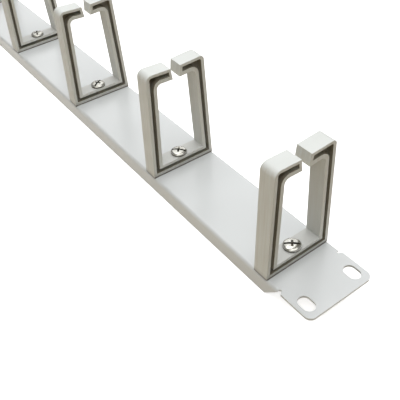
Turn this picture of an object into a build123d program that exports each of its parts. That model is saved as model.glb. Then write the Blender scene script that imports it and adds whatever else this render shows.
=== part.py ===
from build123d import *
from math import radians, tan
import os

# Horizontal cable manager for a 19-inch rack: a folded sheet panel, one unit
# high, with a row of open rings that hold cables in front of it.
# It lies on the edges of its folded flanges, with the rings upwards.
# X runs along the panel, Y across it, Z out of its front face. Sizes in mm.

# Slots that fasten the panel to the rack rails, at the pitches of a 19-inch rack
slot_pitch_x = 465.1
slot_pitch_y = 31.75
slot_length = 10.0
slot_width = 7.0
slot_from_end = 8.75
slot_from_side = 6.125

# Panel
sheet = 1.5
flange_depth = 10.4
bend_inner_radius = 0.5
ear_length = 23.4
ear_corner_radius = 4.0
relief_width = 1.6
relief_past_bend = 0.2
relief_lead = 1.0
flange_end_step = 1.0
flange_end_angle = 45.0

# Rings
ring_count = 5
ring_from_bend_end = 13.3
ring_from_side = 1.3
ring_height = 70.0
ring_depth = 9.8
leg_lean = 2.0
arm_droop = 0.8
gap_outside = 6.4
gap_inside = 4.4
near_corner_radius = 4.0
far_corner_radius = 2.0
inner_corner_radius = 3.2

# Walls of a ring, and the groove between them in each of its faces
outer_wall = 2.0
inner_wall = 2.1
tip_wall = 1.8
web = 1.8
leg_groove = 1.9
base_groove = 1.9
arm_groove = 2.4
boss_recess = 0.8

# Screws, M5
screw_radius = 2.45
screw_tail = 1.3
head_radius = 5.0
head_height = 3.2
head_rim = 1.2
head_top_radius = 3.2
slot_cut_length = 5.8
slot_cut_width = 1.2
slot_cut_depth = 1.2
cross_span = 4.6
cross_floor_span = 2.2
cross_width = 1.3
cross_depth = 2.2
first_screw_turn = 48.0
screw_turn_step = 37.0

# Split lock washers
washer_thickness = 1.2
washer_outer_radius = 4.6
split_width = 0.8
split_angle = 25.0

# Nuts
nut_sides = 6
nut_thickness = 4.0
nut_across_flats = 8.0

# Clearances around the screw
ring_hole_clearance = 0.3
washer_clearance = 0.15
thread_clearance = 0.05

# Sizes and places that follow
panel_length = slot_pitch_x + 2 * slot_from_end
panel_width = slot_pitch_y + 2 * slot_from_side
bend_outer_radius = bend_inner_radius + sheet
body_half = panel_length / 2 - ear_length
back_z = flange_depth - sheet
washer_z = back_z - washer_thickness
nut_z = washer_z - nut_thickness
base_thickness = outer_wall + base_groove + inner_wall
leg_thickness = outer_wall + leg_groove + inner_wall
arm_thickness = outer_wall + arm_groove + inner_wall
head_z = flange_depth + base_thickness
screw_end_z = nut_z - screw_tail
screw_hole_radius = screw_radius + ring_hole_clearance
first_ring_x = body_half - ring_from_bend_end
ring_pitch = 2 * first_ring_x / (ring_count - 1)
ring_places = [first_ring_x - ring_pitch * step for step in range(ring_count)]

# Panel: one sheet, cut out and folded, made as one half and mirrored
with BuildPart() as panel:
    # Face, bends and flanges in section
    with BuildSketch(Plane.YZ):
        with BuildLine():
            FilletPolyline(
                (-panel_width / 2, 0),
                (-panel_width / 2, flange_depth),
                (panel_width / 2, flange_depth),
                (panel_width / 2, 0),
                radius=[0, bend_outer_radius, bend_outer_radius, 0],
                close=True,
            )
        make_face()
        with BuildLine():
            FilletPolyline(
                (-panel_width / 2 + sheet, 0),
                (-panel_width / 2 + sheet, back_z),
                (panel_width / 2 - sheet, back_z),
                (panel_width / 2 - sheet, 0),
                radius=[0, bend_inner_radius, bend_inner_radius, 0],
                close=True,
            )
        make_face(mode=Mode.SUBTRACT)
    extrude(amount=body_half)

    # Slanted ends of the two flanges, from just under the face to the edge
    slant_height = flange_depth - flange_end_step
    slant_length = slant_height / tan(radians(flange_end_angle))
    for face_y, inward in ((-panel_width / 2, -1), (panel_width / 2, 1)):
        with BuildSketch(Plane.XZ.offset(-face_y)):
            with BuildLine():
                Polyline(
                    (body_half, slant_height),
                    (body_half, 0),
                    (body_half - slant_length, 0),
                    close=True,
                )
            make_face()
        extrude(amount=inward * bend_outer_radius, mode=Mode.SUBTRACT)

    # Flat ear with rounded corners, and a round-ended relief beside each bend's end
    relief_depth = bend_outer_radius + relief_past_bend
    with BuildSketch(Plane.XY.offset(back_z)) as ear:
        with Locations((body_half + ear_length / 2, 0)):
            Rectangle(ear_length, panel_width)
        fillet(ear.vertices().group_by(Axis.X)[-1], ear_corner_radius)
        with Locations((body_half + relief_width / 2, 0)):
            with GridLocations(0, panel_width, 1, 2):
                SlotOverall(2 * relief_depth, relief_width, rotation=90, mode=Mode.SUBTRACT)
        relief_side = ear.vertices().group_by(Axis.X)[1].sort_by(Axis.Y)
        chamfer([relief_side[0], relief_side[-1]], relief_lead)
    extrude(amount=sheet)

    mirror(about=Plane.YZ)

    # Rack slots, and a clearance hole under each ring
    with BuildSketch(Plane.XY.offset(back_z)):
        with GridLocations(slot_pitch_x, slot_pitch_y, 2, 2):
            SlotOverall(slot_length, slot_width)
        with GridLocations(ring_pitch, 0, ring_count, 1):
            Circle(screw_hole_radius)
    extrude(amount=sheet, mode=Mode.SUBTRACT)

# Outlines of a ring, seen along the panel, with the panel's face at height 0
ring_plane = Plane(origin=(0, 0, flange_depth), x_dir=(0, 1, 0), z_dir=(1, 0, 0))
base_half = panel_width / 2 - ring_from_side
top_half = base_half - leg_lean
leg_slope = leg_lean / ring_height
arm_slope = arm_droop / top_half
arm_under = ring_height - arm_droop - arm_thickness
inner_base_half = base_half - leg_thickness - leg_slope * base_thickness
inner_top_half = (base_half - leg_thickness - leg_slope * arm_under) / (1 + leg_slope * arm_slope)
inner_top = arm_under + arm_slope * inner_top_half

outside_corners = [
    (-base_half, 0),
    (-top_half, ring_height),
    (0, ring_height - arm_droop),
    (top_half, ring_height),
    (base_half, 0),
]

with BuildSketch() as ring_outside:
    with BuildLine():
        FilletPolyline(
            *outside_corners,
            radius=[0, near_corner_radius, 0, far_corner_radius, 0],
            close=True,
        )
    make_face()

# The groove's outer edge, which keeps sharp corners
with BuildSketch() as groove_outside:
    with BuildLine():
        Polyline(*outside_corners, close=True)
    make_face()
    offset(amount=-outer_wall, kind=Kind.INTERSECTION, mode=Mode.REPLACE)

with BuildSketch() as ring_opening:
    with BuildLine():
        FilletPolyline(
            (-inner_base_half, base_thickness),
            (-inner_top_half, inner_top),
            (0, arm_under),
            (inner_top_half, inner_top),
            (inner_base_half, base_thickness),
            radius=[0, inner_corner_radius, 0, inner_corner_radius, 0],
            close=True,
        )
    make_face()

with BuildSketch() as ring_gap:
    with BuildLine():
        Polyline(
            (-gap_inside / 2, arm_under),
            (-gap_outside / 2, ring_height),
            (gap_outside / 2, ring_height),
            (gap_inside / 2, arm_under),
            close=True,
        )
    make_face()

# Ring: an open frame, grooved in both faces down to a middle web
with BuildPart() as ring:
    with BuildSketch(ring_plane.offset(-ring_depth / 2)):
        add(ring_outside.sketch)
        add(ring_opening.sketch, mode=Mode.SUBTRACT)
        add(ring_gap.sketch, mode=Mode.SUBTRACT)
    extrude(amount=ring_depth)

    sharp = Kind.INTERSECTION
    for side in (-1, 1):
        with BuildSketch(ring_plane.offset(side * ring_depth / 2)):
            add(groove_outside.sketch)
            offset(ring_opening.sketch, amount=inner_wall, kind=sharp, mode=Mode.SUBTRACT)
            offset(ring_gap.sketch, amount=tip_wall, kind=sharp, mode=Mode.SUBTRACT)
        extrude(amount=-side * (ring_depth - web) / 2, mode=Mode.SUBTRACT)

    # Screw boss across the groove of the base, and the hole through it
    with BuildSketch(Plane.XY.offset(flange_depth)):
        Circle(ring_depth / 2 - boss_recess)
    extrude(amount=base_thickness)
    with BuildSketch(Plane.XY.offset(flange_depth)):
        Circle(screw_hole_radius)
    extrude(amount=base_thickness, mode=Mode.SUBTRACT)

# Screw: pan head with a slot and a cross pressed into its flat top
head_top_z = head_z + head_height
with BuildPart() as screw:
    with BuildSketch(Plane.XZ):
        with BuildLine():
            Polyline(
                (0, head_top_z),
                (head_top_radius, head_top_z),
                (head_radius, head_z + head_rim),
                (head_radius, head_z),
                (screw_radius, head_z),
                (screw_radius, screw_end_z),
                (0, screw_end_z),
                close=True,
            )
        make_face()
    revolve(axis=Axis.Z)
    with BuildSketch(Plane.XY.offset(head_top_z)):
        Rectangle(slot_cut_length, slot_cut_width)
    extrude(amount=-slot_cut_depth, mode=Mode.SUBTRACT)
    for wing_plane in (Plane.XZ, Plane.YZ):
        with BuildSketch(wing_plane):
            with BuildLine():
                Polyline(
                    (-cross_span / 2, head_top_z),
                    (cross_span / 2, head_top_z),
                    (cross_floor_span / 2, head_top_z - cross_depth),
                    (-cross_floor_span / 2, head_top_z - cross_depth),
                    close=True,
                )
            make_face()
        extrude(amount=cross_width / 2, both=True, mode=Mode.SUBTRACT)

# Lock washer: a split ring, pressed flat between the nut and the sheet
with BuildPart() as lock_washer:
    with BuildSketch(Plane.XY.offset(washer_z)):
        Circle(washer_outer_radius)
        Circle(screw_radius + washer_clearance, mode=Mode.SUBTRACT)
    extrude(amount=washer_thickness)
    split_shift = washer_thickness * tan(radians(split_angle))
    with BuildSketch(Plane.XZ):
        with BuildLine():
            Polyline(
                (-split_width / 2, washer_z),
                (split_width / 2, washer_z),
                (split_width / 2 + split_shift, back_z),
                (-split_width / 2 + split_shift, back_z),
                close=True,
            )
        make_face()
    extrude(amount=-washer_outer_radius, mode=Mode.SUBTRACT)

# Nut: a plain hexagon
with BuildPart() as nut:
    with BuildSketch(Plane.XY.offset(nut_z)):
        RegularPolygon(nut_across_flats / 2, nut_sides, major_radius=False)
        Circle(screw_radius + thread_clearance, mode=Mode.SUBTRACT)
    extrude(amount=nut_thickness)

# One STEP file for each piece
os.makedirs("parts", exist_ok=True)
panel.part.label = "panel"
export_step(panel.part, "parts/panel.step")

for number, x in enumerate(ring_places, start=1):
    straight = Location((x, 0, 0))
    turned = Location((x, 0, 0), (0, 0, first_screw_turn + screw_turn_step * (number - 1)))
    for name, piece, place in (
        ("ring", ring, straight),
        ("screw", screw, turned),
        ("lock_washer", lock_washer, turned),
        ("nut", nut, turned),
    ):
        copy = piece.part.moved(place)
        copy.label = f"{name}_{number}"
        export_step(copy, f"parts/{copy.label}.step")
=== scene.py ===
import math

import bmesh
import bpy
from mathutils import Matrix, Vector


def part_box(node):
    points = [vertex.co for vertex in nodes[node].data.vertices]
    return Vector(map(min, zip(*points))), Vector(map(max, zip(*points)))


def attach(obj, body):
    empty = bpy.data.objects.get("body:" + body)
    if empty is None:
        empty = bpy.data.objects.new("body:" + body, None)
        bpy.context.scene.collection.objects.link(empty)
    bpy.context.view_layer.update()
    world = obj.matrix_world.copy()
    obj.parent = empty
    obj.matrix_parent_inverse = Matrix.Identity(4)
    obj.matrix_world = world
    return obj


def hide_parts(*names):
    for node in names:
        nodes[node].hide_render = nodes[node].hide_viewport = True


# A rack cable manager on a white studio floor. Everything is in metres, in the
# frame of the CAD part: X along the panel, Y across it, Z up towards the rings.

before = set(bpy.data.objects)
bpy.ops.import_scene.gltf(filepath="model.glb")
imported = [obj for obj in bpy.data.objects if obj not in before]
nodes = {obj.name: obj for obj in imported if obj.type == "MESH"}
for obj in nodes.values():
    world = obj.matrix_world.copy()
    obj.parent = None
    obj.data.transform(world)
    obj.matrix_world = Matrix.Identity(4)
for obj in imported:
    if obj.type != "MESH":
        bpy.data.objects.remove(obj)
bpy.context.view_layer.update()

MM = 0.001
RING_COUNT = 5

# Camera, fitted to edges that the photo shows, for an image of 400 by 400
IMAGE_SIZE = 400
FOCAL_PIXELS = 600.258
SENSOR_MM = 36.0
CAMERA_PLACE = Vector((0.353369, -0.155196, 0.248693))
CAMERA_RIGHT = Vector((0.594892, 0.802206, -0.050685))
CAMERA_DOWN = Vector((0.524438, -0.435148, -0.731854))
CAMERA_FORWARD = Vector((-0.609154, 0.408793, -0.679573))
CAMERA_CLIP = 10 * MM

# Light: three soft lamps that point at one place, and a dim light from all round
LAMPS = {
    "overhead": {"spot": (0.26, -0.04, 1.05), "size": 1.3, "power": 11.4, "colour": (1.0, 1.0, 1.0)},
    "back": {"spot": (-0.75, 0.57, 0.98), "size": 1.6, "power": 10.3, "colour": (1.0, 1.0, 1.0)},
    "front": {"spot": (0.42, -0.95, 0.28), "size": 0.8, "power": 1.45, "colour": (1.0, 0.96, 0.87)},
}
LAMP_AIM = Vector((0.1, 0.0, 0.0))
FILL_COLOUR = (1.0, 0.97, 0.92, 1.0)
FILL_STRENGTH = 0.03
WHITE = (1.0, 1.0, 1.0, 1.0)
WORLD_IN_GLOSS = 0.4

# Floor: its colour as seen, the colour of the light it throws back, and how much it glows.
# The glow grows with the distance from the middle, in metres, until it is full.
FLOOR_SIZE = 6.0
FLOOR_SEEN_COLOUR = (0.80, 0.80, 0.80, 1.0)
FLOOR_BOUNCE_COLOUR = (0.45, 0.36, 0.21, 1.0)
FLOOR_GLOW = 0.78
FULL_GLOW = 1.0
GLOW_GROWS_FROM = 0.4
GLOW_GROWS_TO = 1.4

# Colours of the materials, as 8-bit values
PAINT_COLOUR = (223, 226, 226)
PAINT_DARKER = (219, 222, 222)
PLASTIC_COLOUR = (228, 231, 228)
PLASTIC_DARKER = (221, 224, 220)
PLASTIC_STREAK = (214, 214, 207)
# Painted shade: inside a ring's opening, in its grooves, and where pieces meet
INSIDE_SHADE_COLOUR = (203, 204, 200)
GROOVE_SHADE_COLOUR = (134, 127, 110)
CONTACT_SHADE_COLOUR = (96, 88, 76)
ZINC_COLOUR = (196, 196, 190)
ZINC_DARKER = (160, 158, 150)
# Painted shade in the zinc's recesses and round the heads' rims
ZINC_SHADE_COLOUR = (86, 82, 74)

# Ranges of values: from none to all, the other way round, and the middle that holds most of a noise
WHOLE = (0.0, 1.0)
REVERSED = (1.0, 0.0)
NOISE_MIDDLE = (0.3, 0.7)

# Roughness: a plain value for each material, and the range of the noise that takes its place
PAINT_ROUGHNESS = 0.23
PAINT_ROUGHNESS_RANGE = (0.20, 0.26)
PLASTIC_ROUGHNESS = 0.46
PLASTIC_ROUGHNESS_RANGE = (0.40, 0.52)
ZINC_ROUGHNESS = 0.24
ZINC_ROUGHNESS_RANGE = (0.17, 0.26)

# Scales of the noises: the larger, the finer
PAINT_BLOTCHES = 14
PAINT_SHEEN = 60
PAINT_PEEL = 420
PAINT_FINE_PEEL = 1900
PLASTIC_BLOTCHES = 40
PLASTIC_SHEEN = 150
PLASTIC_MARKS = 700
PLASTIC_MARKS_STRETCH = (1, 1, 0.03)
PLASTIC_GRAIN = 2600
ZINC_CLOUDS = 500
ZINC_SHEEN = 900
ZINC_GRAIN = 2400

# Bumps: how deep they are, and how strongly they show
PEEL_DEPTH = 0.05 * MM
MARKS_DEPTH = 0.03 * MM
GRAIN_DEPTH = 0.02 * MM
PAINT_BUMP = 0.35
PLASTIC_BUMP = 0.4
ZINC_BUMP = 0.3

# Painted shade: how near something has to be to shut a face in, how open a face has to be for the
# painted shade to fade and to end, and the heights of the painted shade at the rings' feet and the heads'
# rims
OPENNESS_SAMPLES = 16
CONTACT_REACH = 1.0 * MM
CONTACT_OPENNESS = (0.5, 0.8)
GROOVE_REACH = 4.0 * MM
GROOVE_OPENNESS = (0.15, 0.55)
GROOVE_SHADE_SHARES = (0.45, 1.0)
ZINC_REACH = 1.6 * MM
ZINC_OPENNESS = (0.35, 0.9)
FOOT_SHADE_SHARE = 0.4
FOOT_SHADE_HEIGHT = 3.5 * MM
CONTACT_SHADOW_HEIGHT = 0.8 * MM
RIM_SHADE_HEIGHT = 1.0 * MM

# How far up or down a face looks, from 0 to 1: its draw marks fade between these two
MARKS_FADE = (0.4, 0.9)

# Small roundings of the edges, which the CAD part leaves sharp
PANEL_EDGE = 0.18 * MM
RING_EDGE = 0.40 * MM
WASHER_EDGE = 0.10 * MM
SCREW_EDGE = 0.08 * MM
EDGE_SEGMENTS = 3
SCREW_EDGE_SEGMENTS = 2
WELD_REACH = 0.001 * MM
FLAT_ANGLE = math.radians(1)
SHARP_ANGLE = math.radians(30)

# Steps of a full turn on turned solids, and of one rounded corner of an outline
ROUND_STEPS = 64
CORNER_STEPS = 8

# How far the cutting solids reach past what they cut
GAP_CUT_PAST = 3.0 * MM
RING_CUT_PAST = 1.0 * MM
FASTENER_CUT_PAST = 0.5 * MM

# Rings: half widths, the walls and grooves of the base, the legs and the arms, the parts
# that the sides of the outline belong to with the place of its corner in the middle of the
# top, and the turn of each ring on its screw, in degrees
FOOT_HALF = 21.7 * MM
TOP_HALF = 19.0 * MM
ARM_DROOP = 1.0 * MM
OUTER_WALLS = {"base": 2.6 * MM, "leg": 2.1 * MM, "arm": 1.8 * MM}
GROOVES = {"base": 2.35 * MM, "leg": 2.2 * MM, "arm": 2.7 * MM}
INNER_WALLS = {"base": 1.9 * MM, "leg": 2.2 * MM, "arm": 2.5 * MM}
OUTLINE_PARTS = ("base", "leg", "arm", "arm", "leg")
OUTLINE_TOP_MIDDLE = 3
TIP_WALL = 1.7 * MM
WEB = 1.8 * MM
GAP_OUTSIDE = 6.4 * MM
GAP_INSIDE = 4.4 * MM
NEAR_CORNER = 4.0 * MM
FAR_CORNER = 2.8 * MM
INNER_CORNER = 3.0 * MM
GROOVE_CORNER = 1.2 * MM
BOSS_RADIUS = 3.5 * MM
HOLE_RADIUS = 2.75 * MM
RING_TURNS = (0.4, -1.5, -2.0, 0.0, 0.0)

# Marks on a ring's faces: how much of the painted shade inside the opening the legs and arms take, how
# far a face may lie from its place, and how little it may face along the panel
LEG_INSIDE_SHADE_SHARE = 0.6
MARK_MARGIN = 0.3 * MM
MARK_SIDEWAYS = 0.5

# Screws, with the turn of each one's slot in degrees
HEAD_RADIUS = 5.0 * MM
HEAD_HEIGHT = 2.3 * MM
HEAD_RIM = 0.75 * MM
HEAD_LOWER_ROUND = 0.15 * MM
HEAD_ROUNDNESS = 2.3
DOME_STEPS = 12
SLOT_LENGTH = 8.6 * MM
SLOT_WIDTH = 1.2 * MM
SLOT_DEPTH = 1.2 * MM
CROSS_SPAN = 4.8 * MM
CROSS_FLOOR_SPAN = 2.2 * MM
CROSS_WIDTH = 1.3 * MM
CROSS_DEPTH = 2.2 * MM
SHANK_RADIUS = 2.45 * MM
SCREW_END_CHAMFER = 0.35 * MM
SCREW_TURNS = (48.0, 41.0, 122.0, 159.0, 196.0)

# Thread: the half widths of its root and crest as shares of the pitch, how far it is sunk
# into the shank, as a share of the root's radius, and how thin its ends may become
THREAD_ROOT_RADIUS = 2.05 * MM
THREAD_PITCH = 0.8 * MM
THREAD_LENGTH = 3.2 * MM
THREAD_RUNOUT = 0.2 * MM
THREAD_STEPS = 32
THREAD_ROOT_SHARE = 0.44
THREAD_CREST_SHARE = 0.08
THREAD_SUNK_SHARE = 0.96
THREAD_END_SHARE = 0.02

# Nuts, with their turns in degrees
NUT_SIDES = 6
NUT_ACROSS_FLATS = 8.0 * MM
NUT_BORE_RADIUS = 2.5 * MM
NUT_BORE_CHAMFER = 0.35 * MM
NUT_CHAMFER_SLOPE = math.tan(math.radians(30))
FIRST_NUT_TURN = 48.0
NUT_TURN_STEP = 37.0


# Sizes that follow

def thickness(part):
    """Both walls of a ring's base, leg or arm, and the groove between them."""
    return OUTER_WALLS[part] + GROOVES[part] + INNER_WALLS[part]


def seat_height():
    """Height of the top of the rings' bases, where the screws' heads sit."""
    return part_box("ring_1")[0].z + thickness("base")


# Materials

def linear(colour):
    """A linear colour with alpha from three 8-bit values, by the sRGB curve."""
    shares = []
    for value in colour:
        share = value / 255
        shares.append(share / 12.92 if share <= 0.04045 else ((share + 0.055) / 1.055) ** 2.4)
    return shares + [1.0]


def give(tree, socket, value):
    """Feeds an input with another node's output, or sets it to a constant."""
    if isinstance(value, bpy.types.NodeSocket):
        tree.links.new(value, socket)
    else:
        socket.default_value = value


def add_node(tree, kind, inputs=None, **settings):
    """Adds a node with its settings, and gives a value to each input that is named."""
    node = tree.nodes.new(kind)
    for name, setting in settings.items():
        setattr(node, name, setting)
    for name, value in (inputs or {}).items():
        give(tree, node.inputs[name], value)
    return node


def map_range(tree, value, result, source):
    """Maps a value from the source range onto the result range, and stops at its ends."""
    node = add_node(tree, "ShaderNodeMapRange", {
        "Value": value,
        "From Min": source[0],
        "From Max": source[1],
        "To Min": result[0],
        "To Max": result[1],
    })
    return node.outputs["Result"]


class Surface:
    """A material with one Principled shader, and short calls for the nodes that feed it."""

    def __init__(self, name, roughness, metallic=0.0):
        self.material = bpy.data.materials.new(name)
        self.material.use_nodes = True
        self.tree = self.material.node_tree
        self.tree.nodes.clear()
        self.shader = self.add("ShaderNodeBsdfPrincipled", {"Metallic": metallic, "Roughness": roughness})
        self.add("ShaderNodeOutputMaterial", {"Surface": self.shader.outputs["BSDF"]})
        self.place = self.add("ShaderNodeTexCoord").outputs["Object"]

    def add(self, kind, inputs=None, **settings):
        """Adds a node to this material."""
        return add_node(self.tree, kind, inputs, **settings)

    def feed(self, name, socket):
        """Feeds one of the shader's inputs."""
        give(self.tree, self.shader.inputs[name], socket)

    def spread(self, value, result, source=NOISE_MIDDLE):
        """Maps a value onto the result range, from a noise's middle or another range."""
        return map_range(self.tree, value, result, source)

    def noise(self, scale, detail, stretch=(1, 1, 1)):
        """A noise from 0 to 1 over the object's own coordinates."""
        mapping = self.add("ShaderNodeMapping", {"Vector": self.place, "Scale": stretch})
        texture = self.add("ShaderNodeTexNoise", {
            "Vector": mapping.outputs["Vector"],
            "Scale": scale,
            "Detail": detail,
        })
        return texture.outputs["Fac"]

    def mix_colour(self, share, first, second):
        """Runs from the first colour to the second as the share goes from 0 to 1."""
        mix = self.add("ShaderNodeMix", {"Factor": share}, data_type="RGBA")
        first_input, second_input = [socket for socket in mix.inputs if socket.type == "RGBA"]
        give(self.tree, first_input, first)
        give(self.tree, second_input, second)
        return next(socket for socket in mix.outputs if socket.type == "RGBA")

    def openness(self, reach, local=True):
        """1 on open faces, and less where something shuts a face in within the reach."""
        node = self.add("ShaderNodeAmbientOcclusion", {"Distance": reach},
                        only_local=local, samples=OPENNESS_SAMPLES)
        return node.outputs["AO"]

    def attribute(self, name):
        """A value that the mesh holds for each of its faces."""
        return self.add("ShaderNodeAttribute", attribute_name=name).outputs["Fac"]

    def steepness(self):
        """1 on upright faces, and 0 on level ones."""
        normal = self.add("ShaderNodeNewGeometry").outputs["Normal"]
        upwards = self.add("ShaderNodeSeparateXYZ", {"Vector": normal}).outputs["Z"]
        size = self.add("ShaderNodeMath", {0: upwards}, operation="ABSOLUTE")
        return self.spread(size.outputs["Value"], REVERSED, MARKS_FADE)

    def height(self):
        """Height above the floor, since every object sits at the origin."""
        return self.add("ShaderNodeSeparateXYZ", {"Vector": self.place}).outputs["Z"]

    def product(self, first, second):
        """One value times the other."""
        return self.add("ShaderNodeMath", {0: first, 1: second}, operation="MULTIPLY").outputs["Value"]

    def bump(self, layers, strength):
        """Chains one bump for each height socket and its depth in metres."""
        normal = None
        for height, depth in layers:
            node = self.add("ShaderNodeBump", {"Height": height, "Distance": depth, "Strength": strength})
            if normal is not None:
                give(self.tree, node.inputs["Normal"], normal)
            normal = node.outputs["Normal"]
        self.feed("Normal", normal)


def panel_paint():
    """Light grey powder coat, semi-gloss, with a fine orange peel and painted shade where pieces meet it.
    """
    coat = Surface("panel_paint", PAINT_ROUGHNESS)
    blotches = coat.spread(coat.noise(PAINT_BLOTCHES, detail=2), WHOLE)
    colour = coat.mix_colour(blotches, linear(PAINT_COLOUR), linear(PAINT_DARKER))
    # Painted shade where other pieces meet the panel
    painted_shade = coat.spread(coat.openness(CONTACT_REACH, local=False), REVERSED, CONTACT_OPENNESS)
    coat.feed("Base Color", coat.mix_colour(painted_shade, colour, linear(CONTACT_SHADE_COLOUR)))
    coat.feed("Roughness", coat.spread(coat.noise(PAINT_SHEEN, detail=3), PAINT_ROUGHNESS_RANGE))
    coat.bump([
        (coat.noise(PAINT_PEEL, detail=2), PEEL_DEPTH),
        (coat.noise(PAINT_FINE_PEEL, detail=2), GRAIN_DEPTH),
    ], PAINT_BUMP)
    return coat.material


def ring_plastic():
    """Warm grey moulded plastic with a fine grain, faint draw marks, and painted shade in grooves,
    opening and foot.
    """
    plastic = Surface("ring_plastic", PLASTIC_ROUGHNESS)
    blotches = plastic.spread(plastic.noise(PLASTIC_BLOTCHES, detail=3), WHOLE)
    colour = plastic.mix_colour(blotches, linear(PLASTIC_COLOUR), linear(PLASTIC_DARKER))

    marks = plastic.noise(PLASTIC_MARKS, detail=2, stretch=PLASTIC_MARKS_STRETCH)
    streaks = plastic.product(plastic.spread(marks, WHOLE), plastic.steepness())
    colour = plastic.mix_colour(streaks, colour, linear(PLASTIC_STREAK))
    # Painted shade on the faces inside the ring's opening, less of it on the legs and under the arms
    colour = plastic.mix_colour(plastic.attribute("inside"), colour, linear(INSIDE_SHADE_COLOUR))

    # Painted shade on the groove faces, less of it where they are most shut in
    shade = plastic.spread(plastic.openness(GROOVE_REACH), GROOVE_SHADE_SHARES, GROOVE_OPENNESS)
    painted_shade = plastic.product(plastic.attribute("groove"), shade)
    colour = plastic.mix_colour(painted_shade, colour, linear(GROOVE_SHADE_COLOUR))

    # Painted shade on the lowest part of the foot, and a painted contact shadow along its bottom edge
    height = plastic.height()
    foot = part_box("ring_1")[0].z
    foot_shade = plastic.spread(height, (FOOT_SHADE_SHARE, 0), (foot, foot + FOOT_SHADE_HEIGHT))
    colour = plastic.mix_colour(foot_shade, colour, linear(CONTACT_SHADE_COLOUR))
    contact_shadow = plastic.spread(height, REVERSED, (foot + CONTACT_SHADOW_HEIGHT / 2, foot + CONTACT_SHADOW_HEIGHT))
    plastic.feed("Base Color", plastic.mix_colour(contact_shadow, colour, linear(CONTACT_SHADE_COLOUR)))

    sheen = plastic.noise(PLASTIC_SHEEN, detail=3)
    plastic.feed("Roughness", plastic.spread(sheen, PLASTIC_ROUGHNESS_RANGE))
    grain = plastic.noise(PLASTIC_GRAIN, detail=3)
    plastic.bump([(marks, MARKS_DEPTH), (grain, GRAIN_DEPTH)], PLASTIC_BUMP)
    return plastic.material


def zinc_steel():
    """Bright zinc plate, a little cloudy, with painted shade in its recesses and round the heads' rims.
    """
    zinc = Surface("zinc_steel", ZINC_ROUGHNESS, metallic=1.0)
    clouds = zinc.spread(zinc.noise(ZINC_CLOUDS, detail=4), WHOLE)
    colour = zinc.mix_colour(clouds, linear(ZINC_COLOUR), linear(ZINC_DARKER))

    # Painted shade in a band round the heads' rims where they sit on the seat, and in the recesses
    height = zinc.height()
    seat = seat_height()
    above = zinc.spread(height, WHOLE, (seat - RIM_SHADE_HEIGHT, seat))
    below = zinc.spread(height, REVERSED, (seat + RIM_SHADE_HEIGHT / 2, seat + RIM_SHADE_HEIGHT))
    colour = zinc.mix_colour(zinc.product(above, below), colour, linear(ZINC_SHADE_COLOUR))
    painted_shade = zinc.spread(zinc.openness(ZINC_REACH, local=False), REVERSED, ZINC_OPENNESS)
    zinc.feed("Base Color", zinc.mix_colour(painted_shade, colour, linear(ZINC_SHADE_COLOUR)))

    zinc.feed("Roughness", zinc.spread(zinc.noise(ZINC_SHEEN, detail=3), ZINC_ROUGHNESS_RANGE))
    zinc.bump([(zinc.noise(ZINC_GRAIN, detail=3), GRAIN_DEPTH)], ZINC_BUMP)
    return zinc.material


# Objects and modifiers

def add_object(name, data):
    """Puts an object into the scene, at the origin."""
    obj = bpy.data.objects.new(name, data)
    bpy.context.scene.collection.objects.link(obj)
    return obj


def mesh_object(name, bm):
    """Turns a bmesh into an object with its faces outwards."""
    mesh = bpy.data.meshes.new(name)
    bmesh.ops.recalc_face_normals(bm, faces=bm.faces)
    bm.to_mesh(mesh)
    bm.free()
    return add_object(name, mesh)


def dress(obj, material):
    """Gives an object one material."""
    obj.data.materials.clear()
    obj.data.materials.append(material)


def bevel(obj, width, segments):
    """Rounds an object's sharp edges by a modifier, and leaves its mesh as it is."""
    edge = obj.modifiers.new("edge", "BEVEL")
    edge.width = width
    edge.segments = segments
    edge.limit_method = "ANGLE"
    edge.angle_limit = SHARP_ANGLE


def round_edges(obj, width):
    """Joins the triangles of an object's flat faces and rounds its sharp edges, all by modifiers."""
    weld = obj.modifiers.new("weld", "WELD")
    weld.merge_threshold = WELD_REACH
    flat = obj.modifiers.new("flat", "DECIMATE")
    flat.decimate_type = "DISSOLVE"
    flat.angle_limit = FLAT_ANGLE
    bevel(obj, width, EDGE_SEGMENTS)
    normals = obj.modifiers.new("normals", "WEIGHTED_NORMAL")
    normals.keep_sharp = True


def smooth_by_angle(obj):
    """Shades an object smooth except at its sharp edges."""
    for polygon in obj.data.polygons:
        polygon.use_smooth = True
    obj.data.set_sharp_from_angle(angle=SHARP_ANGLE)


def discard(obj):
    """Removes an object together with its mesh."""
    mesh = obj.data
    bpy.data.objects.remove(obj)
    bpy.data.meshes.remove(mesh)


def combine(base, tool, operation):
    """Applies one boolean to the base and removes the tool."""
    cut = base.modifiers.new("cut", "BOOLEAN")
    cut.operation = operation
    cut.solver = "EXACT"
    cut.object = tool
    bpy.context.view_layer.update()
    depsgraph = bpy.context.evaluated_depsgraph_get()
    result = bpy.data.meshes.new_from_object(base.evaluated_get(depsgraph))
    base.modifiers.clear()
    old = base.data
    base.data = result
    bpy.data.meshes.remove(old)
    discard(tool)


def stand_for(obj, node, material):
    """Dresses an object and puts it in the place of a node."""
    dress(obj, material)
    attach(obj, "root")
    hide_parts(node)


# Solids and outlines

def add_sides(bm, first, second):
    """Adds the faces between two closed rows of corners."""
    for index in range(len(first)):
        following = (index + 1) % len(first)
        bm.faces.new((first[index], first[following], second[following], second[index]))


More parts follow.
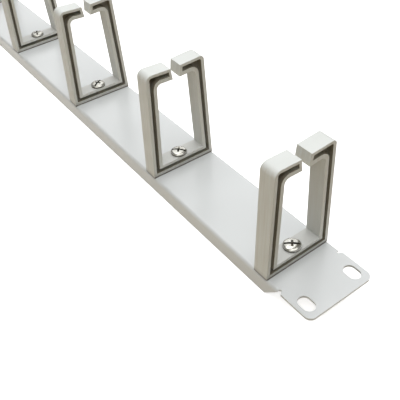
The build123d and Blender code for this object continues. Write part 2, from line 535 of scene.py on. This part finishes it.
def lathe(name, profile):
    """A closed solid turned about Z from (radius, height) points between two on the axis."""
    bm = bmesh.new()
    angles = [math.tau * step / ROUND_STEPS for step in range(ROUND_STEPS)]
    rows = []
    for radius, height in profile:
        if radius == 0:
            rows.append([bm.verts.new((0, 0, height))])
        else:
            rows.append([bm.verts.new((radius * math.cos(angle), radius * math.sin(angle), height))
                         for angle in angles])
    for upper, lower in zip(rows, rows[1:]):
        for step in range(ROUND_STEPS):
            following = (step + 1) % ROUND_STEPS
            corners = []
            for row, index in ((upper, step), (upper, following), (lower, following), (lower, step)):
                corner = row[index % len(row)]
                if corner not in corners:
                    corners.append(corner)
            bm.faces.new(corners)
    return mesh_object(name, bm)


def prism(name, outline, low, high):
    """A solid between two heights from an outline of (x, y) points."""
    bm = bmesh.new()
    bottom = [bm.verts.new((x, y, low)) for x, y in outline]
    top = [bm.verts.new((x, y, high)) for x, y in outline]
    bm.faces.new(bottom)
    bm.faces.new(top)
    add_sides(bm, bottom, top)
    return mesh_object(name, bm)


def slab(name, outline, low, high):
    """A solid between two places along X from an outline of (y, z) points."""
    solid = prism(name, outline, low, high)
    solid.data.transform(Matrix(((0, 0, 1, 0), (1, 0, 0, 0), (0, 1, 0, 0), (0, 0, 0, 1))))
    return solid


def shrunk(corners, distances):
    """The corners of an outline whose sides have moved inwards, each by its own distance."""
    sides = []
    for index, distance in enumerate(distances):
        start = corners[index]
        along = (corners[(index + 1) % len(corners)] - start).normalized()
        sides.append((start + Vector((-along.y, along.x)) * distance, along))
    moved = []
    for index in range(len(sides)):
        (before, back), (after, ahead) = sides[index - 1], sides[index]
        moved.append(before + back * ((after - before).cross(ahead) / back.cross(ahead)))
    return moved


def rounded(corners, radii):
    """The points of an outline that runs anticlockwise, with each corner rounded by its radius."""
    points = []
    for index, (corner, radius) in enumerate(zip(corners, radii)):
        if radius == 0:
            points.append(corner)
            continue
        back = (corners[index - 1] - corner).normalized()
        ahead = (corners[(index + 1) % len(corners)] - corner).normalized()
        half = back.angle(ahead) / 2
        middle = corner + (back + ahead).normalized() * (radius / math.sin(half))
        start = corner + back * (radius / math.tan(half)) - middle
        for step in range(CORNER_STEPS + 1):
            turn = (math.pi - 2 * half) * step / CORNER_STEPS
            points.append(middle + Matrix.Rotation(turn, 2) @ start)
    return points


# Rings

def round_top(corners, far, near):
    """Rounds the far and the near top corner of an outline that follows a ring's."""
    return rounded(corners, (0, 0, far, 0, near))


def gap_outline(height, under, extra):
    """The gap between the arms, wider by the extra on both sides, and drawn past the arms."""
    slope = (GAP_OUTSIDE - GAP_INSIDE) / 2 / (height - under)
    low = GAP_INSIDE / 2 + extra - slope * GAP_CUT_PAST
    high = GAP_OUTSIDE / 2 + extra + slope * GAP_CUT_PAST
    bottom = under - GAP_CUT_PAST
    top = height + GAP_CUT_PAST
    return [(-low, bottom), (low, bottom), (high, top), (-high, top)]


def cut_grooves(ring, corners, depth, height, under):
    """Cuts a groove into both faces of a ring, and leaves a web between them."""
    outer_walls = [OUTER_WALLS[part] for part in OUTLINE_PARTS]
    inner_walls = [OUTER_WALLS[part] + GROOVES[part] for part in OUTLINE_PARTS]
    outer_round = INNER_CORNER + INNER_WALLS["leg"]
    inside = round_top(shrunk(corners, inner_walls), outer_round, outer_round)
    outside = round_top(shrunk(corners, outer_walls), GROOVE_CORNER, GROOVE_CORNER)
    tips = gap_outline(height, under, TIP_WALL)
    past = depth / 2 + RING_CUT_PAST
    for low, high in ((WEB / 2, past), (-past, -WEB / 2)):
        tool = slab("groove_tool", outside, low, high)
        combine(tool, slab("wall_tool", inside, -depth, depth), "DIFFERENCE")
        combine(tool, slab("tip_tool", tips, -depth, depth), "DIFFERENCE")
        combine(ring, tool, "DIFFERENCE")


def add_boss(ring):
    """Adds a boss across the grooves of a ring's base, with the screw's hole through it."""
    base = thickness("base")
    low = OUTER_WALLS["base"] / 2
    high = base - INNER_WALLS["base"] / 2
    boss = [(0, low), (BOSS_RADIUS, low), (BOSS_RADIUS, high), (0, high)]
    combine(ring, lathe("boss_tool", boss), "UNION")
    bottom = -RING_CUT_PAST
    top = base + RING_CUT_PAST
    hole = [(0, bottom), (HOLE_RADIUS, bottom), (HOLE_RADIUS, top), (0, top)]
    combine(ring, lathe("hole_tool", hole), "DIFFERENCE")


def mark_groove_shade(ring, depth):
    """Marks the faces of the grooves for painted shade, by how far their middles lie from the middle of
    the web.
    """
    near = WEB / 4
    far = depth / 2 - near
    marks = ring.data.attributes.new("groove", "FLOAT", "FACE")
    for polygon, mark in zip(ring.data.polygons, marks.data):
        mark.value = 1.0 if near < abs(polygon.center.x) < far else 0.0


def mark_inside_shade(ring, height, under):
    """Marks the faces of the opening for painted shade: fully on the base, and less on the legs and under
    the arms.
    """
    marks = ring.data.attributes.new("inside", "FLOAT", "FACE")
    base = thickness("base")
    leg = thickness("leg")
    for polygon, mark in zip(ring.data.polygons, marks.data):
        middle = polygon.center
        half = FOOT_HALF + (TOP_HALF - FOOT_HALF) * middle.z / height
        inwards = half - abs(middle.y) > leg - MARK_MARGIN
        between = base - MARK_MARGIN < middle.z < under + INNER_WALLS["arm"] / 2
        if inwards and between and abs(polygon.normal.x) < MARK_SIDEWAYS:
            mark.value = 1.0 if middle.z < base + MARK_MARGIN else LEG_INSIDE_SHADE_SHARE
        else:
            mark.value = 0.0


def make_ring_form(depth, height):
    """One moulded ring about the screw's axis, with its foot at height 0."""
    corners = [Vector(point) for point in (
        (-FOOT_HALF, 0),
        (FOOT_HALF, 0),
        (TOP_HALF, height),
        (0, height - ARM_DROOP),
        (-TOP_HALF, height),
    )]
    opening_corners = shrunk(corners, [thickness(part) for part in OUTLINE_PARTS])
    under = opening_corners[OUTLINE_TOP_MIDDLE].y
    ring = slab("ring", round_top(corners, FAR_CORNER, NEAR_CORNER), -depth / 2, depth / 2)
    opening = round_top(opening_corners, INNER_CORNER, INNER_CORNER)
    combine(ring, slab("opening_tool", opening, -depth, depth), "DIFFERENCE")
    gap = gap_outline(height, under, 0)
    combine(ring, slab("gap_tool", gap, -depth, depth), "DIFFERENCE")
    cut_grooves(ring, corners, depth, height, under)
    add_boss(ring)
    mark_groove_shade(ring, depth)
    mark_inside_shade(ring, height, under)
    return ring


def make_ring(number, form, material):
    """A copy of the ring's form in its node's place, turned a little on its one screw."""
    node = f"ring_{number}"
    low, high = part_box(node)
    middle = (low + high) / 2
    ring = add_object(f"{node}_moulding", form.data.copy())
    turn = Matrix.Rotation(math.radians(RING_TURNS[number - 1]), 4, "Z")
    ring.data.transform(Matrix.Translation((middle.x, middle.y, low.z)) @ turn)
    round_edges(ring, RING_EDGE)
    stand_for(ring, node, material)


# Screws and nuts

def place(obj, node, turn):
    """Turns a piece made about the Z axis and moves it onto its CAD node's axis."""
    low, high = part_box(node)
    middle = (low + high) / 2
    obj.data.transform(Matrix.Translation((middle.x, 0, 0)) @ Matrix.Rotation(turn, 4, "Z"))


def screw_profile(end, seat):
    """Outline of a domed pan head on a shank that is threaded at its end, as (radius, height)."""
    rim = seat + HEAD_RIM
    points = [(0, seat + HEAD_HEIGHT)]
    for step in range(1, DOME_STEPS + 1):
        turn = math.pi / 2 * step / DOME_STEPS
        radius = HEAD_RADIUS * math.sin(turn) ** (2 / HEAD_ROUNDNESS)
        dome = (HEAD_HEIGHT - HEAD_RIM) * math.cos(turn) ** (2 / HEAD_ROUNDNESS)
        points.append((radius, rim + dome))
    return points + [
        (HEAD_RADIUS, seat + HEAD_LOWER_ROUND),
        (HEAD_RADIUS - HEAD_LOWER_ROUND, seat),
        (SHANK_RADIUS, seat),
        (SHANK_RADIUS, end + THREAD_LENGTH),
        (THREAD_ROOT_RADIUS, end + THREAD_LENGTH - THREAD_RUNOUT),
        (THREAD_ROOT_RADIUS, end + SCREW_END_CHAMFER / 2),
        (THREAD_ROOT_RADIUS - SCREW_END_CHAMFER / 2, end),
        (0, end),
    ]


def thread(name, low, high):
    """A helical ridge round the shank's end, from the low height to the high one."""
    bm = bmesh.new()
    turns = (high - low) / THREAD_PITCH - 1
    count = round(turns * THREAD_STEPS)
    root = THREAD_PITCH * THREAD_ROOT_SHARE
    crest = THREAD_PITCH * THREAD_CREST_SHARE
    inside = THREAD_ROOT_RADIUS * THREAD_SUNK_SHARE
    fade_steps = THREAD_STEPS / 2
    rows = []
    for index in range(count + 1):
        angle = math.tau * index / THREAD_STEPS
        middle = low + THREAD_PITCH * (0.5 + index / THREAD_STEPS)
        fade = max(min(1, index / fade_steps, (count - index) / fade_steps), THREAD_END_SHARE)
        peak = THREAD_ROOT_RADIUS + (SHANK_RADIUS - THREAD_ROOT_RADIUS) * fade
        section = [(inside, -root), (peak, -crest), (peak, crest), (inside, root)]
        rows.append([bm.verts.new((radius * math.cos(angle), radius * math.sin(angle), middle + height))
                     for radius, height in section])
    for first, second in zip(rows, rows[1:]):
        add_sides(bm, first, second)
    bm.faces.new(rows[0])
    bm.faces.new(rows[-1])
    return mesh_object(name, bm)


def wing(name, top_span, top, floor):
    """One wing of a cross recess, which narrows from its top to its floor."""
    section = [
        (-top_span / 2, top),
        (top_span / 2, top),
        (CROSS_FLOOR_SPAN / 2, floor),
        (-CROSS_FLOOR_SPAN / 2, floor),
    ]
    bm = bmesh.new()
    near = [bm.verts.new((x, -CROSS_WIDTH / 2, z)) for x, z in section]
    far = [bm.verts.new((x, CROSS_WIDTH / 2, z)) for x, z in section]
    bm.faces.new(near)
    bm.faces.new(far)
    add_sides(bm, near, far)
    return mesh_object(name, bm)


def cut_recesses(screw, top):
    """Cuts the slot and the cross into a screw's head."""
    above = top + FASTENER_CUT_PAST
    slot_outline = [
        (-SLOT_LENGTH / 2, -SLOT_WIDTH / 2),
        (SLOT_LENGTH / 2, -SLOT_WIDTH / 2),
        (SLOT_LENGTH / 2, SLOT_WIDTH / 2),
        (-SLOT_LENGTH / 2, SLOT_WIDTH / 2),
    ]
    combine(screw, prism("slot_tool", slot_outline, top - SLOT_DEPTH, above), "DIFFERENCE")
    widening = (CROSS_SPAN - CROSS_FLOOR_SPAN) / CROSS_DEPTH * FASTENER_CUT_PAST
    for turn in (0, math.pi / 2):
        tool = wing("wing_tool", CROSS_SPAN + widening, above, top - CROSS_DEPTH)
        tool.data.transform(Matrix.Rotation(turn, 4, "Z"))
        combine(screw, tool, "DIFFERENCE")


def make_screw(number, seat, material):
    """A screw with its head on the seat, and its end where its node ends."""
    node = f"screw_{number}"
    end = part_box(node)[0].z
    screw = lathe(f"{node}_pan_head", screw_profile(end, seat))
    cut_recesses(screw, seat + HEAD_HEIGHT)
    combine(screw, thread("thread_tool", end, end + THREAD_LENGTH), "UNION")
    place(screw, node, math.radians(SCREW_TURNS[number - 1]))
    smooth_by_angle(screw)
    bevel(screw, SCREW_EDGE, SCREW_EDGE_SEGMENTS)
    stand_for(screw, node, material)


def make_nut(number, material):
    """A hexagon nut with chamfered corners and bore, between its node's two heights."""
    node = f"nut_{number}"
    low, high = (corner.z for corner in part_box(node))
    flat = NUT_ACROSS_FLATS / 2
    reach = flat / math.cos(math.pi / NUT_SIDES)
    drop = (reach - flat) * NUT_CHAMFER_SLOPE
    angles = [math.tau * side / NUT_SIDES for side in range(NUT_SIDES)]
    hexagon = [(reach * math.cos(angle), reach * math.sin(angle)) for angle in angles]
    nut = prism(f"{node}_hexagon", hexagon, low, high)
    corners = [(0, low), (flat, low), (reach, low + drop), (reach, high - drop), (flat, high), (0, high)]
    combine(nut, lathe("corner_tool", corners), "INTERSECT")

    past = FASTENER_CUT_PAST
    wide = NUT_BORE_RADIUS + NUT_BORE_CHAMFER
    bore = [
        (0, low - past),
        (wide + past, low - past),
        (wide, low),
        (NUT_BORE_RADIUS, low + NUT_BORE_CHAMFER),
        (NUT_BORE_RADIUS, high - NUT_BORE_CHAMFER),
        (wide, high),
        (wide + past, high + past),
        (0, high + past),
    ]
    combine(nut, lathe("bore_tool", bore), "DIFFERENCE")
    place(nut, node, math.radians(FIRST_NUT_TURN + NUT_TURN_STEP * (number - 1)))
    smooth_by_angle(nut)
    stand_for(nut, node, material)


# Studio

def ray_share(tree, path):
    """1 for rays that are seen directly, in gloss or through glass, and 0 for the others."""
    total = path.outputs["Is Camera Ray"]
    for name in ("Is Glossy Ray", "Is Transmission Ray"):
        inputs = {0: total, 1: path.outputs[name]}
        total = add_node(tree, "ShaderNodeMath", inputs, operation="ADD", use_clamp=True).outputs[0]
    return total


def floor_material():
    """White and glowing where it is seen, with shadows, and warmer in the light it throws back."""
    material = bpy.data.materials.new("floor_white")
    material.use_nodes = True
    tree = material.node_tree
    tree.nodes.clear()
    place_on_floor = add_node(tree, "ShaderNodeTexCoord").outputs["Object"]
    distance = add_node(tree, "ShaderNodeVectorMath", {0: place_on_floor}, operation="LENGTH")
    strength = map_range(tree, distance.outputs["Value"], (FLOOR_GLOW, FULL_GLOW),
                         (GLOW_GROWS_FROM, GLOW_GROWS_TO))
    glow = add_node(tree, "ShaderNodeEmission", {"Strength": strength})
    seen = add_node(tree, "ShaderNodeBsdfDiffuse", {"Color": FLOOR_SEEN_COLOUR})
    both = add_node(tree, "ShaderNodeAddShader", {0: seen.outputs["BSDF"], 1: glow.outputs["Emission"]})
    bounce = add_node(tree, "ShaderNodeBsdfDiffuse", {"Color": FLOOR_BOUNCE_COLOUR})
    mix = add_node(tree, "ShaderNodeMixShader", {
        "Fac": ray_share(tree, add_node(tree, "ShaderNodeLightPath")),
        1: bounce.outputs["BSDF"],
        2: both.outputs["Shader"],
    })
    add_node(tree, "ShaderNodeOutputMaterial", {"Surface": mix.outputs["Shader"]})
    return material


def make_floor():
    """A floor at the height of the flanges' edges."""
    bm = bmesh.new()
    half = FLOOR_SIZE / 2
    corners = ((-half, -half), (half, -half), (half, half), (-half, half))
    bm.faces.new([bm.verts.new((x, y, 0)) for x, y in corners])
    floor = mesh_object("floor", bm)
    dress(floor, floor_material())


def make_world():
    """White where the camera sees it, greyer in gloss, and a dim warm light for everything else."""
    world = bpy.data.worlds.new("studio")
    bpy.context.scene.world = world
    world.use_nodes = True
    tree = world.node_tree
    tree.nodes.clear()
    path = add_node(tree, "ShaderNodeLightPath")
    strength = map_range(tree, path.outputs["Is Camera Ray"], (WORLD_IN_GLOSS, 1.0), WHOLE)
    seen = add_node(tree, "ShaderNodeBackground", {"Color": WHITE, "Strength": strength})
    fill = add_node(tree, "ShaderNodeBackground", {"Color": FILL_COLOUR, "Strength": FILL_STRENGTH})
    mix = add_node(tree, "ShaderNodeMixShader", {
        "Fac": ray_share(tree, path),
        1: fill.outputs["Background"],
        2: seen.outputs["Background"],
    })
    add_node(tree, "ShaderNodeOutputWorld", {"Surface": mix.outputs["Shader"]})


def make_lamp(name, spot, size, power, colour):
    """A square softbox that points at the panel."""
    data = bpy.data.lights.new(name, "AREA")
    data.shape = "SQUARE"
    data.size = size
    data.energy = power
    data.color = colour
    lamp = add_object(name, data)
    lamp.location = spot
    lamp.rotation_euler = (LAMP_AIM - Vector(spot)).to_track_quat("-Z", "Y").to_euler()


def make_camera():
    """A camera with the place, the turn and the lens that were fitted to the photo."""
    data = bpy.data.cameras.new("camera")
    data.sensor_width = SENSOR_MM
    data.lens = FOCAL_PIXELS / IMAGE_SIZE * SENSOR_MM
    data.clip_start = CAMERA_CLIP
    camera = add_object("camera", data)
    turn = Matrix((CAMERA_RIGHT, -CAMERA_DOWN, -CAMERA_FORWARD)).transposed()
    camera.matrix_world = Matrix.Translation(CAMERA_PLACE) @ turn.to_4x4()
    bpy.context.scene.camera = camera


# The object

paint = panel_paint()
plastic = ring_plastic()
zinc = zinc_steel()

dress(nodes["panel"], paint)
round_edges(nodes["panel"], PANEL_EDGE)

ring_low, ring_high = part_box("ring_1")
ring_size = ring_high - ring_low
ring_form = make_ring_form(ring_size.x, ring_size.z)
for number in range(1, RING_COUNT + 1):
    make_ring(number, ring_form, plastic)
    washer = nodes[f"lock_washer_{number}"]
    dress(washer, zinc)
    round_edges(washer, WASHER_EDGE)
    make_screw(number, seat_height(), zinc)
    make_nut(number, zinc)
discard(ring_form)

# Its surroundings

make_floor()
make_world()
for name, lamp in LAMPS.items():
    make_lamp(name, **lamp)
make_camera()

bpy.context.scene.view_settings.view_transform = "Standard"
